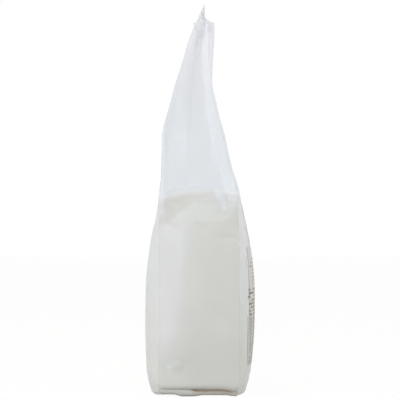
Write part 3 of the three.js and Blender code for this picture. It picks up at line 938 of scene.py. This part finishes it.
# The ribs of the top seal
# Level ribs that the jaws of the sealing machine pressed into both faces of the top seal, in the film
# itself. They end a little short of the creases.
RIB_COUNT = 5
RIB_PITCH = 1.5
RIB_HEIGHT = 0.7
RIB_THICKNESS = 0.3
RIB_LENGTH = 118.0
RIB_STEPS = 60
top_rib = HEIGHT - (SEAL_HEIGHT - RIB_PITCH * (RIB_COUNT - 1)) / 2
ribs = mark_rows(top_rib, RIB_COUNT, RIB_PITCH, RIB_HEIGHT, (RIB_LENGTH, RIB_LENGTH), left=-RIB_LENGTH / 2,
                 right=RIB_LENGTH / 2, steps=RIB_STEPS, thickness=RIB_THICKNESS)
for side, face in ((-1, "front"), (1, "back")):
    seal_ribs = marks_on_film("seal_ribs_" + face, [ribs], side, 0.0, clear_film)
    vertex_values(seal_ribs.data, "haze", np.full(len(seal_ribs.data.vertices), HAZE_SEALED))
    vertex_values(seal_ribs.data, "layers", np.ones(len(seal_ribs.data.vertices)))
    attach(seal_ribs, "root")
    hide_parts("flour_bag")


# The studio
# A pale seamless floor under a white sky that dims upwards, with a strong soft light on the left and a
# weak, narrow one on the right that is aimed high. The floor looks white, but throws little light back.
FLOOR_SIZE = 6.0
SKY_ABOVE = 0.47
SKY_AROUND = 0.98
floor = new_piece("studio_floor", bpy.data.meshes.new("studio_floor"))
edge = FLOOR_SIZE / 2
corners = [(-edge, -edge, 0), (edge, -edge, 0), (edge, edge, 0), (-edge, edge, 0)]
floor.data.from_pydata(corners, [], [(0, 1, 2, 3)])
pale_floor, tree = new_material("pale_floor")
seen = add_node(tree, "ShaderNodeLightPath")
looked_at = add_node(tree, "ShaderNodeMath", {
    0: seen.outputs["Is Camera Ray"], 1: seen.outputs["Is Glossy Ray"]}, operation="MAXIMUM")
lit = add_node(tree, "ShaderNodeMath", {0: looked_at.outputs[0], 1: 0.85}, operation="MULTIPLY")
matte = add_node(tree, "ShaderNodeBsdfDiffuse", {"Color": linear("#a09c97")})
white = add_node(tree, "ShaderNodeEmission", {"Color": linear("#ffffff"), "Strength": 1.12})
surface = add_node(tree, "ShaderNodeMixShader", {
    0: lit.outputs[0], 1: matte.outputs[0], 2: white.outputs[0]})
add_node(tree, "ShaderNodeOutputMaterial", {"Surface": surface.outputs[0]})
floor.data.materials.append(pale_floor)

sky = bpy.data.worlds.new("white_sky")
bpy.context.scene.world = sky
sky.use_nodes = True
sky.node_tree.nodes.clear()
seen = add_node(sky.node_tree, "ShaderNodeLightPath")
way = add_node(sky.node_tree, "ShaderNodeTexCoord")
upward = add_node(sky.node_tree, "ShaderNodeSeparateXYZ", {0: way.outputs["Generated"]})
dome = add_node(sky.node_tree, "ShaderNodeMapRange", {
    "Value": upward.outputs["Z"], "To Min": SKY_AROUND, "To Max": SKY_ABOVE})
glow = add_node(sky.node_tree, "ShaderNodeMath", {0: dome.outputs[0], 1: seen.outputs["Is Camera Ray"]},
                operation="MAXIMUM")
backdrop = add_node(sky.node_tree, "ShaderNodeBackground", {
    "Color": linear("#ffffff"), "Strength": glow.outputs[0]})
add_node(sky.node_tree, "ShaderNodeOutputWorld", {"Surface": backdrop.outputs[0]})


def soft_light(name, place, size, watts, colour, aim=0.12, spread=180):
    """A square soft box at a place in metres, turned to a height of the bag, with a spread in degrees."""
    lamp = bpy.data.lights.new(name, "AREA")
    lamp.size = size
    lamp.spread = np.radians(spread)
    lamp.energy = watts
    lamp.color = linear(colour)[:3]
    box = bpy.data.objects.new(name, lamp)
    box.location = place
    box.rotation_euler = (Vector((0, 0, aim)) - Vector(place)).to_track_quat("-Z", "Y").to_euler()
    bpy.context.scene.collection.objects.link(box)


soft_light("left_soft_box", (0.52, -0.58, 0.32), 0.55, 3.95, "#f4f8ff")
soft_light("right_soft_box", (0.24, 0.8, 0.45), 0.6, 0.7, "#f4f8ff", aim=0.28, spread=50)

CAMERA_DISTANCE = 1.31
CAMERA_HEIGHT = 0.1256
LENS_LENGTH = 176.1
SENSOR_WIDTH = 36.0
lens = bpy.data.cameras.new("camera")
lens.lens = LENS_LENGTH
lens.sensor_width = SENSOR_WIDTH
camera = bpy.data.objects.new("camera", lens)
camera.location = (CAMERA_DISTANCE, 0, CAMERA_HEIGHT)
camera.rotation_euler = (np.pi / 2, 0, np.pi / 2)
bpy.context.scene.collection.objects.link(camera)
bpy.context.scene.camera = camera
bpy.context.scene.view_settings.view_transform = "Standard"
# A line of sight passes many layers of film
bpy.context.scene.cycles.transparent_max_bounces = 64
